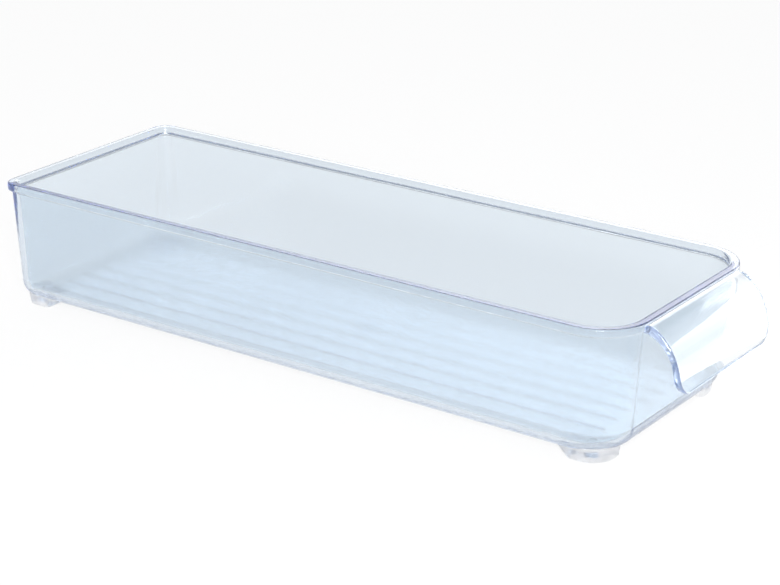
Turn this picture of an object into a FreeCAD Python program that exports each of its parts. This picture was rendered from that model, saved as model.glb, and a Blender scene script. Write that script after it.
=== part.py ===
import FreeCAD, Part
import math
import os

# Long clear pull-out storage tray with a front finger lip and four cap feet.
# Millimetres. +X is to the right seen from the front, +Y goes to the back, +Z is up.
# The origin is under the middle of the overall box, on the surface the feet rest on.

V = FreeCAD.Vector

# --- overall sizes
rim_length = 373.0          # front to back over the rim, without the finger lip
rim_width = 130.0           # side to side over the rim
tub_height = 64.4           # underside of the floor up to the top of the rim
foot_height = 4.2           # floor of the cupboard or fridge up to the underside of the tub
lip_reach = 19.0            # how far the finger lip stands out in front of the rim

# --- tub wall and floor
wall_thickness = 2.6
floor_thickness = 3.0
side_inset_at_base = 3.4    # rim edge to wall foot, at each side
front_inset_at_base = 7.4   # the front wall leans back more than the others
back_inset_at_base = 3.2
front_corner_at_rim = 25.0
back_corner_at_rim = 9.0
front_corner_at_base = 23.0
back_corner_at_base = 10.6
inner_back_corner_at_rim = 5.6      # the inside of the back corners is rounder than the wall alone
inner_back_corner_at_floor = 8.0
base_edge_radius = 10.0     # big soft edge all round the underside

# --- rim
rim_overhang = 2.5          # rim edge beyond the outer face of the wall
rim_back_sharpening = 1.3   # the wall turns the back corners tighter than the rim does
rim_band = 4.0              # height of the upright edge of the rim
rim_root_radius = 2.0       # hollow blend from the rim down to the wall
rim_outer_radius = 0.9
rim_lower_radius = 0.8
rim_inner_radius = 1.8

# --- floor ribs and gate mark
rib_count = 8
rib_pitch = 12.9
rib_width = 2.2
rib_rise = 0.2              # felt more than seen: it only keeps jars off a flat wet floor
rib_root = 0.5              # how far a rib is sunk into the floor
rib_front_gap = 8.5         # from the flat floor's front end to the rib ends
rib_back_gap = 3.0
gate_diameter = 13.0
gate_depth = 0.6
sprue_diameter = 3.0
gate_offset = 6.5           # to the right of the middle line

# --- feet: clear caps pressed up over pegs moulded under the tub
foot_length = 23.5          # front to back where it meets the floor of the tub
foot_width = 18.5
foot_side_inset = 4.2       # foot face behind the outer wall foot
foot_front_inset = 4.6
foot_back_inset = 3.0
foot_corner_radius = 12.5   # the corner that follows the tub corner in front
back_foot_length = 19.0
back_foot_corner_radius = 5.0
foot_inner_radius = 3.0
foot_taper = 0.5            # outer faces lean in by this much towards the ground
foot_end_slope = 4.2        # the end facing along the tub leans back by this much
foot_ground_radius = 0.8
peg_length = 6.0
peg_width = 6.0
peg_height = 2.6
peg_corner_radius = 1.5
peg_clearance = 0.1         # gap all round the peg, inside the cap
peg_tip_clearance = 0.4
peg_root = 1.0              # how far the peg runs up into the floor of the tub
foot_hug = 3.0              # how far the cap runs up the rounded underside before trimming
cap_seat_gap = 0.1          # between the top of a cap and the underside of the tub

# --- finger lip (the pull handle)
lip_half_width = 43.8
lip_drop = 32.2             # top of the rim down to the lower edge of the lip
lip_corner_radius = 10.0    # the two lower corners, seen from the front
lip_edge_radius = 1.2       # all round the free edges, where fingers meet the sheet
lip_seam = 0.1              # bond line between the rim and the root of the lip
# both faces as (out from the rim edge, down from the rim top), root to tip
lip_outer_curve = [(-1.0, 0.95), (0.0, 1.0), (3.0, 1.2), (5.6, 2.4), (7.8, 4.1), (9.9, 6.1),
                   (11.8, 8.2), (13.5, 10.6), (15.0, 13.4), (16.2, 16.4), (17.2, 19.8),
                   (18.0, 23.4), (18.6, 27.4), (lip_reach, lip_drop)]
lip_inner_curve = [(-4.0, 4.9), (-0.8, 4.9), (2.0, 5.5), (4.3, 6.6), (6.6, 8.2), (8.5, 9.9),
                   (10.3, 12.0), (11.9, 14.4), (13.1, 17.0), (14.0, 19.9), (14.6, 23.2),
                   (15.1, 27.4), (15.5, lip_drop)]

# --- places worked out from the sizes above
overall_length = rim_length + lip_reach
front_y = -overall_length / 2 + lip_reach
back_y = overall_length / 2
base_z = foot_height
top_z = foot_height + tub_height
floor_z = base_z + floor_thickness
wall_back_radius = back_corner_at_rim - rim_overhang - rim_back_sharpening
wall_front_radius = front_corner_at_rim - rim_overhang


def blend(low, high, share):
    return low + (high - low) * share


def outline(left, right, front, back, radii, z):
    """Closed rounded rectangle. The radii go front right, back right, back left, front left."""
    lean = math.sqrt(0.5)
    signs = [(right, front, -1, 1), (right, back, -1, -1), (left, back, 1, -1), (left, front, 1, 1)]
    arcs = []
    for number, (x, y, inward_x, inward_y) in enumerate(signs):
        radius = radii[number]
        centre = V(x + inward_x * radius, y + inward_y * radius, z)
        on_side = V(x, centre.y, z)
        on_end = V(centre.x, y, z)
        middle = centre - V(inward_x * radius * lean, inward_y * radius * lean, 0)
        first, last = (on_end, on_side) if number % 2 == 0 else (on_side, on_end)
        arcs.append((first, middle, last))
    edges = []
    for number, (first, middle, last) in enumerate(arcs):
        edges.append(Part.Arc(first, middle, last).toShape())
        following = arcs[(number + 1) % len(arcs)][0]
        edges.append(Part.makeLine(last, following))
    return Part.Wire(edges)


def wall_outline(z, inset, back_radius):
    """Outer face of the wall at a height, moved in by the inset."""
    share = (z - base_z) / tub_height
    half = rim_width / 2 - blend(side_inset_at_base, rim_overhang, share) - inset
    front = front_y + blend(front_inset_at_base, rim_overhang, share) + inset
    back = back_y - blend(back_inset_at_base, rim_overhang, share) - inset
    front_radius = blend(front_corner_at_base, wall_front_radius, share) - inset
    radii = (front_radius, back_radius, back_radius, front_radius)
    return outline(-half, half, front, back, radii, z)


def rim_outline(z):
    half = rim_width / 2
    radii = (front_corner_at_rim, back_corner_at_rim, back_corner_at_rim, front_corner_at_rim)
    return outline(-half, half, front_y, back_y, radii, z)


def walls_between(low, high, inset, back_radii):
    """Tapered block between two heights. The back radii are those of its low and high ends."""
    wires = [wall_outline(z, inset, radius) for z, radius in zip((low, high), back_radii)]
    return Part.makeLoft(wires, True, True)


def edges_where(shape, test):
    return [edge for edge in shape.Edges if test(edge.BoundBox)]


def edges_at_height(shape, z):
    return edges_where(shape, lambda box: abs(box.ZMin - z) < 1e-3 and abs(box.ZMax - z) < 1e-3)


def on_rim_edge(edge, reach):
    """True for an edge that comes nearer to the outline of the rim than the reach."""
    box = edge.BoundBox
    at_side = max(abs(box.XMin), abs(box.XMax)) > rim_width / 2 - reach
    return at_side or box.YMin < front_y + reach or box.YMax > back_y - reach


def tub_block():
    """Solid outside of the tub, with the rim standing out at the top."""
    block = walls_between(base_z, top_z, 0, (back_corner_at_base, wall_back_radius))
    block = block.makeFillet(base_edge_radius, edges_at_height(block, base_z))
    band = Part.Face(rim_outline(top_z - rim_band)).extrude(V(0, 0, rim_band))
    block = block.fuse(band).removeSplitter()
    edges = edges_at_height(block, top_z - rim_band)
    root = [edge for edge in edges if not on_rim_edge(edge, rim_overhang / 2)]
    lower = [edge for edge in edges if on_rim_edge(edge, rim_overhang / 2)]
    return block.makeFillet(rim_root_radius, root).makeFillet(rim_lower_radius, lower)


def cavity():
    inner_radius = base_edge_radius - wall_thickness
    back_radii = (inner_back_corner_at_floor, inner_back_corner_at_rim)
    hollow = walls_between(floor_z, top_z, wall_thickness, back_radii)
    return hollow.makeFillet(inner_radius, edges_at_height(hollow, floor_z))


def rib(x):
    """One low rounded rib: the top of a round bar, with its root sunk into the floor."""
    round_radius = ((rib_width / 2) ** 2 + rib_rise ** 2) / (2 * rib_rise)
    inner_edge = base_edge_radius
    front = front_y + front_inset_at_base + inner_edge + rib_front_gap
    back = back_y - back_inset_at_base - inner_edge - rib_back_gap
    start = V(x, front, floor_z + rib_rise - round_radius)
    bar = Part.makeCylinder(round_radius, back - front, start, V(0, 1, 0))
    for end_y in (front, back):
        bar = bar.fuse(Part.makeSphere(round_radius, V(x, end_y, start.z)))
    slab = Part.makeBox(rib_width * 2, back - front + rib_width * 2, rib_rise + rib_root,
                        V(x - rib_width, front - rib_width, floor_z - rib_root))
    return bar.common(slab)


def prism(left, right, front, back, radius, low, high):
    wire = outline(left, right, front, back, (radius,) * 4, low)
    return Part.Face(wire).extrude(V(0, 0, high - low))


def gate_well():
    """Round recess in the underside with the sprue stub left standing in it."""
    centre = V(gate_offset, (front_y + back_y) / 2, base_z)
    well = Part.makeCylinder(gate_diameter / 2, gate_depth, centre)
    return well.cut(Part.makeCylinder(sprue_diameter / 2, gate_depth, centre))


def foot_places():
    """Name, side (-1 left, 1 right) and end (-1 front, 1 back) of each foot."""
    return [("foot_front_left", -1, -1), ("foot_front_right", 1, -1),
            ("foot_back_left", -1, 1), ("foot_back_right", 1, 1)]


def foot_outline(side, end, taper, slope, z):
    """Plan of one foot. Taper moves the outer faces in, slope the end facing along the tub."""
    outer = side * (rim_width / 2 - side_inset_at_base - foot_side_inset - taper)
    inner = outer - side * (foot_width - taper)
    if end < 0:
        outer_end = front_y + front_inset_at_base + foot_front_inset + taper
        length, corner = foot_length, foot_corner_radius
    else:
        outer_end = back_y - back_inset_at_base - foot_back_inset - taper
        length, corner = back_foot_length, back_foot_corner_radius
    inner_end = outer_end - end * (length - taper - slope)
    radii = [foot_inner_radius] * 4
    corners = [(1, -1), (1, 1), (-1, 1), (-1, -1)]
    radii[corners.index((side, end))] = corner
    return outline(min(outer, inner), max(outer, inner), min(outer_end, inner_end),
                   max(outer_end, inner_end), radii, z)


def peg_centre(side, end):
    box = foot_outline(side, end, foot_taper, foot_end_slope, 0).BoundBox
    return box.Center


def peg(side, end, gap, tip_gap):
    """Peg under the tub. With gaps it is the socket in the cap instead."""
    centre = peg_centre(side, end)
    half_width = peg_width / 2 + gap
    half_length = peg_length / 2 + gap
    low = base_z - peg_height - tip_gap
    return prism(centre.x - half_width, centre.x + half_width, centre.y - half_length,
                 centre.y + half_length, peg_corner_radius + gap, low, base_z + peg_root)


def foot(side, end, underside):
    """Clear cap: tapered block that hugs the rounded underside, with a socket for its peg."""
    top = base_z + foot_hug
    rise = foot_hug / foot_height
    wires = [foot_outline(side, end, foot_taper, foot_end_slope, 0),
             foot_outline(side, end, -foot_taper * rise, -foot_end_slope * rise, top)]
    block = Part.makeLoft(wires, True, True)
    block = block.makeFillet(foot_ground_radius, edges_at_height(block, 0))
    seat = underside.translated(V(0, 0, -cap_seat_gap))
    return block.cut(seat).cut(peg(side, end, peg_clearance, peg_tip_clearance))


def open_tub(block):
    """Hollows the block out and rounds both edges of the flat rim."""
    tub = block.cut(cavity())
    outer = [edge for edge in edges_at_height(tub, top_z) if on_rim_edge(edge, rim_overhang / 2)]
    tub = tub.makeFillet(rim_outer_radius, outer)
    inner = [edge for edge in edges_at_height(tub, top_z) if not on_rim_edge(edge, rim_overhang)]
    return tub.makeFillet(rim_inner_radius, inner)


def tray(underside):
    body = open_tub(underside)
    for _, side, end in foot_places():
        body = body.fuse(peg(side, end, 0, 0))
    body = body.cut(gate_well())
    first = -(rib_count - 1) / 2 * rib_pitch
    for number in range(rib_count):
        body = body.fuse(rib(first + number * rib_pitch))
    return body.removeSplitter()


def lip_point(out, drop):
    return V(0, front_y - out, top_z - drop)


def lip_curve(points):
    curve = Part.BSplineCurve()
    curve.interpolate(points)
    return curve.toShape()


def lip_section():
    """Closed side profile of the finger lip in the plane of its left end."""
    outer = [lip_point(*pair) for pair in lip_outer_curve]
    inner = [lip_point(*pair) for pair in lip_inner_curve]
    tip = Part.makeLine(outer[-1], inner[-1])
    root = Part.makeLine(inner[0], outer[0])
    wire = Part.Wire([lip_curve(outer), tip, lip_curve(inner), root])
    wire.translate(V(-lip_half_width, 0, 0))
    return Part.Face(wire)


def lip_block():
    """Plain block round the lip with its two lower corners rounded."""
    deep = lip_reach + wall_thickness + rim_overhang
    low = top_z - lip_drop
    block = Part.makeBox(2 * lip_half_width, deep, lip_drop,
                         V(-lip_half_width, front_y - lip_reach, low))
    corners = edges_where(block, lambda box: abs(box.ZMax - low) < 1e-3 and box.YLength > deep / 2)
    return block.makeFillet(lip_corner_radius, corners)


def free_edges(sheet):
    """Edges along both faces of the lip, down its ends and along its tip."""
    sides = [edge for edge in sheet.Edges if isinstance(edge.Curve, Part.BSplineCurve)]
    along_tip = edges_at_height(sheet, top_z - lip_drop)
    return sides + [edge for edge in along_tip if edge.BoundBox.XLength > lip_half_width]


def pull_handle(underside):
    """Curved sheet with rounded free edges, trimmed a bond line away from the rim."""
    sheet = lip_section().extrude(V(2 * lip_half_width, 0, 0)).common(lip_block())
    sheet = sheet.makeFillet(lip_edge_radius, free_edges(sheet))
    return sheet.cut(underside.translated(V(0, -lip_seam, 0)))


underside = tub_block()
nodes = {"tray": tray(underside), "pull_handle": pull_handle(underside)}
for name, side, end in foot_places():
    nodes[name] = foot(side, end, underside)

os.makedirs("parts", exist_ok=True)
for name, shape in nodes.items():
    print(name, shape.isValid(), len(shape.Solids), round(shape.Volume, 1), shape.BoundBox)
    shape.exportStep("parts/%s.step" % name)
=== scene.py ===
# %% [markdown]
# # A long clear pull-out tray
# The object is a fridge tray of clear polystyrene: one deep moulded tub, a curved finger lip
# bonded to its front rim, and four soft caps pressed on as feet. The CAD model already has
# every piece at its real size and shape, so this lesson is about the finish: how clear
# plastic takes light. It starts by loading the pieces and noting the box that they fill.

# %% Load the model
import bpy
import math
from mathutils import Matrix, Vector

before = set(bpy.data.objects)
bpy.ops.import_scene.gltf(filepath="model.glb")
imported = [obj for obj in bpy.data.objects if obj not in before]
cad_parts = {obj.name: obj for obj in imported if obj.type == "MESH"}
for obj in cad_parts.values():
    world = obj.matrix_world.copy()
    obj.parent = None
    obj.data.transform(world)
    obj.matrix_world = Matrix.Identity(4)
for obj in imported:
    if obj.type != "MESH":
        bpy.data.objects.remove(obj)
scene = bpy.context.scene
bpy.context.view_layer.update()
print("pieces:", sorted(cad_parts))

# %% [markdown]
# ## Colours and nodes
# Colours are chosen as the #RRGGBB values that a screen shows, while a renderer adds up
# light, so one function turns the first into the second. A second small function adds a
# shader node together with its settings and its links, which keeps the recipes below short.

# %% Helpers for colours and nodes
MM = 0.001


def linear(hex_colour):
    """A #RRGGBB colour as the linear RGBA that a shader socket holds."""
    shares = [int(hex_colour[i:i + 2], 16) / 255 for i in (1, 3, 5)]
    light = [s / 12.92 if s <= 0.04045 else ((s + 0.055) / 1.055) ** 2.4 for s in shares]
    return (*light, 1.0)


def add(tree, kind, settings=None, links=None):
    """One node with its settings and what feeds it, by socket name or number."""
    node = tree.nodes.new(kind)
    for name, value in (settings or {}).items():
        if isinstance(name, str) and name not in node.inputs:
            setattr(node, name, value)
        else:
            node.inputs[name].default_value = value
    for name, source in (links or {}).items():
        tree.links.new(source, node.inputs[name])
    return node


def new_tree(owner):
    """The empty shader tree of a material or a world."""
    owner.use_nodes = True
    owner.node_tree.nodes.clear()
    return owner.node_tree


print("middle grey #808080 is", round(linear("#808080")[0], 3), "of white light")

# %% [markdown]
# ## Clear moulded plastic
# Clear plastic is never quite flat: the melt freezes in slow waves a few centimetres long,
# and handling leaves faint smears that make some patches glossier than others. A drop of
# blue toner hides the yellow of the resin. So a thin wall shows a pale tint, set by the base
# colour, and an edge, where light runs a long way inside, turns violet-blue, set by the
# absorption. The same recipe serves all three pieces, with other numbers.

# %% A recipe for clear plastic
SMEAR_MM = 12


def clear_plastic(name, tint, toner, toner_per_m, ior, roughness, wave_mm, wave_depth_mm):
    """Clear plastic: a tinted skin with slow waves and smears around an absorbing body."""
    material = bpy.data.materials.new(name)
    tree = new_tree(material)
    place = add(tree, "ShaderNodeTexCoord").outputs["Object"]
    waves = add(tree, "ShaderNodeTexNoise", {"Scale": 1 / (wave_mm * MM), "Detail": 1.0},
                {"Vector": place})
    bumps = add(tree, "ShaderNodeBump", {"Strength": 1.0, "Distance": wave_depth_mm * MM},
                {"Height": waves.outputs["Fac"]})
    smears = add(tree, "ShaderNodeTexNoise", {"Scale": 1 / (SMEAR_MM * MM), "Detail": 3.0},
                 {"Vector": place})
    gloss = add(tree, "ShaderNodeMapRange", {"To Min": roughness[0], "To Max": roughness[1]},
                {"Value": smears.outputs["Fac"]})
    skin = add(tree, "ShaderNodeBsdfPrincipled",
               {"Base Color": linear(tint), "IOR": ior, "Transmission Weight": 1.0},
               {"Roughness": gloss.outputs["Result"], "Normal": bumps.outputs["Normal"]})
    body = add(tree, "ShaderNodeVolumeAbsorption",
               {"Color": linear(toner), "Density": toner_per_m})
    add(tree, "ShaderNodeOutputMaterial",
        links={"Surface": skin.outputs["BSDF"], "Volume": body.outputs["Volume"]})
    return material


print("smears are", SMEAR_MM, "mm across")

# %% [markdown]
# ## Three finishes
# The tub and the lip are the same resin from two moulds. The tub's mould has a fine satin
# polish that softens what shows through it, while the lip's is polished higher and its sheet
# is smaller, so it looks paler and cleaner. The caps are soft silicone: they bend light less
# and scatter it more, which is why they read as pale milky blocks and not as glass.

# %% Finish the tub, the lip and the caps
# Injection-moulded clear polystyrene: pale blue walls with violet-blue edges
tub_finish = clear_plastic("injection_moulded_clear_polystyrene", "#E9F1F7", "#98BAF2", 10,
                           ior=1.59, roughness=(0.10, 0.16), wave_mm=35, wave_depth_mm=0.003)
# Polished clear polystyrene: nearly white, with crisp reflections
lip_finish = clear_plastic("polished_clear_polystyrene", "#F8FCFE", "#AAC4E9", 10,
                           ior=1.59, roughness=(0.01, 0.03), wave_mm=35, wave_depth_mm=0.002)
# Moulded clear silicone: milky, with blurred highlights and a fine grain
cap_finish = clear_plastic("moulded_clear_silicone", "#FAFCFF", "#B8C2F0", 4,
                           ior=1.41, roughness=(0.25, 0.36), wave_mm=2, wave_depth_mm=0.005)
finishes = {"tray": tub_finish, "pull_handle": lip_finish}
for name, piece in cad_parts.items():
    for slot in piece.material_slots:
        slot.material = finishes.get(name, cap_finish)
    print(name, "is", piece.material_slots[0].material.name)

# %% [markdown]
# ## A white table
# The tray stands on white paper. Eyes, reflections and clear plastic should all see that
# paper as nearly white, so part of it glows for those rays only. The rest is ordinary matt
# paper, which keeps the soft shade under the tray. The sheet is so wide that a low view also
# ends on it.

# %% Lay the paper
PAPER_HALF = 20.0
PAPER_GLOW = 0.84
paper_mesh = bpy.data.meshes.new("paper")
paper_mesh.from_pydata([(x * PAPER_HALF, y * PAPER_HALF, 0)
                        for x, y in ((-1, -1), (1, -1), (1, 1), (-1, 1))], [], [(0, 1, 2, 3)])
paper = bpy.data.objects.new("paper", paper_mesh)
scene.collection.objects.link(paper)
white_paper = bpy.data.materials.new("matt_white_paper")
tree = new_tree(white_paper)
rays = add(tree, "ShaderNodeLightPath").outputs
through = add(tree, "ShaderNodeMath", {"operation": "MAXIMUM"},
              {0: rays["Is Transmission Ray"], 1: rays["Is Glossy Ray"]})
seen = add(tree, "ShaderNodeMath", {"operation": "MAXIMUM"},
           {0: rays["Is Camera Ray"], 1: through.outputs[0]})
share = add(tree, "ShaderNodeMath", {"operation": "MULTIPLY", 1: PAPER_GLOW},
            {0: seen.outputs[0]})
matt = add(tree, "ShaderNodeBsdfDiffuse", {"Color": linear("#FAFBFC")})
glow = add(tree, "ShaderNodeEmission", {"Color": linear("#FFFFFF"), "Strength": 1.0})
both = add(tree, "ShaderNodeMixShader",
           links={0: share.outputs[0], 1: matt.outputs[0], 2: glow.outputs[0]})
add(tree, "ShaderNodeOutputMaterial", links={"Surface": both.outputs[0]})
paper_mesh.materials.append(white_paper)
print("share of the paper that glows:", PAPER_GLOW)

# %% [markdown]
# ## An even room with one strip light
# Clear plastic has hardly any colour of its own and shows the room instead. An even pale
# room keeps the edges light. The flat floor of the tray mirrors the part of the room that
# lies about 21 degrees up behind it, so one long strip light glows there, on the right. It
# ends below and above that height, because the rounded rim and the bend of the lip mirror
# the parts under and over it, and a bright line would show on them. Heights are given as
# the sine of the angle above the table, since that is what a direction of length 1 holds.

# %% Light the room
ROOM_LEVEL = 0.53
STRIP_LEVEL = 3.0
STRIP_TOWARD = (0.990, 0.139, 0.0)
STRIP_SIDES = (0.66, 0.90)    # cosine of the angle from the middle, where it starts and is full
STRIP_FOOT = (0.21, 0.31)     # dark at 12 degrees up, full at 18
STRIP_TOP = (0.42, 0.58)      # full to 25 degrees up, dark at 35
world = bpy.data.worlds.new("even_studio")
scene.world = world
tree = new_tree(world)
way = add(tree, "ShaderNodeTexCoord").outputs["Generated"]


def fade(value, start, end, low, high):
    """A soft step from low to high while the value goes from start to end."""
    step = add(tree, "ShaderNodeMapRange",
               {"interpolation_type": "SMOOTHSTEP", "From Min": start, "From Max": end,
                "To Min": low, "To Max": high}, {"Value": value})
    return step.outputs["Result"]


def times(one, other):
    """One value multiplied by the other."""
    return add(tree, "ShaderNodeMath", {"operation": "MULTIPLY"}, {0: one, 1: other}).outputs[0]


height = add(tree, "ShaderNodeSeparateXYZ", links={0: way}).outputs["Z"]
facing = add(tree, "ShaderNodeVectorMath", {"operation": "DOT_PRODUCT", 1: STRIP_TOWARD},
             {0: way}).outputs["Value"]
above_foot = fade(height, *STRIP_FOOT, 0.0, 1.0)
below_top = fade(height, *STRIP_TOP, 1.0, 0.0)
sideways = fade(facing, *STRIP_SIDES, 0.0, STRIP_LEVEL)
strip = times(times(above_foot, below_top), sideways)
level = add(tree, "ShaderNodeMath", {"operation": "ADD", 1: ROOM_LEVEL}, {0: strip})
room = add(tree, "ShaderNodeBackground", {"Color": linear("#FFFFFF")},
           {"Strength": level.outputs[0]})
add(tree, "ShaderNodeOutputWorld", links={"Surface": room.outputs[0]})
print("room level:", ROOM_LEVEL, "and strip light:", STRIP_LEVEL)

# %% [markdown]
# ## A softbox and a light card
# One softbox on the near side lights the paper and casts the faint shade under the tray. The
# finger lip is curved, so it would mirror the whole room from the ceiling down to the table.
# A small lit card stands close beside it and gives its face one even white glow.
# The card is hidden from the camera and from light that comes through the plastic, since a
# white patch behind the tub would spoil the views from the other side.

# %% Set the lamps
TRAY_MIDDLE = (0, 0, 0)
LIP_MIDDLE = (0, -0.185, 0.066)


def lamp(name, place, aim, size, power):
    """A rectangular lamp of so many watts that looks at one point. Lengths are in metres."""
    data = bpy.data.lights.new(name, "AREA")
    data.shape, data.size, data.size_y = "RECTANGLE", *size
    data.energy = power
    made = bpy.data.objects.new(name, data)
    made.location = place
    made.rotation_euler = (Vector(aim) - Vector(place)).to_track_quat("-Z", "Y").to_euler()
    scene.collection.objects.link(made)
    print(name, "has", power, "W")
    return made


lamp("softbox", place=(-1.45, -1.04, 0.85), aim=TRAY_MIDDLE, size=(0.8, 0.5), power=46)
card = lamp("light_card", place=(0.126, -0.2835, 0.066), aim=LIP_MIDDLE, size=(0.25, 0.13),
            power=0.32)
card.visible_camera = card.visible_transmission = False

# %% [markdown]
# ## How far light may travel
# Light inside a clear edge bounces from face to face many times before it gets out. If the
# renderer gives up after a few bounces, the edge turns black. So the limit is raised far
# enough for the light to come out again, tinted violet-blue by its long way.

# %% Let light bounce inside the plastic
BOUNCES = 128
scene.cycles.max_bounces = BOUNCES
scene.cycles.transmission_bounces = BOUNCES
scene.cycles.glossy_bounces = BOUNCES
print("bounces allowed:", BOUNCES)

# %% [markdown]
# ## The camera
# A long lens from about 1.2 m away keeps the long sides nearly parallel. It looks down by
# 21 degrees, so the far wall, the floor and the curved lip all show.

# %% Place the camera
LENS_MM = 105.16
SENSOR_MM = 36.0
NEAREST, FARTHEST = 0.01, 50
CAMERA_PLACE = (-0.86882, -0.62493, 0.44287)
LOOK_DOWN = math.radians(21.0912)
TURNED = math.radians(-54.5983)
UPRIGHT = math.radians(90)    # a camera with no turn at all looks straight down
camera_data = bpy.data.cameras.new("camera")
camera_data.lens, camera_data.sensor_width = LENS_MM, SENSOR_MM
camera_data.clip_start, camera_data.clip_end = NEAREST, FARTHEST
camera = bpy.data.objects.new("camera", camera_data)
camera.location = CAMERA_PLACE
camera.rotation_euler = (UPRIGHT - LOOK_DOWN, 0, TURNED)
scene.collection.objects.link(camera)
scene.camera = camera
scene.view_settings.view_transform = "Standard"
print("camera distance in m:", round(camera.location.length, 2))
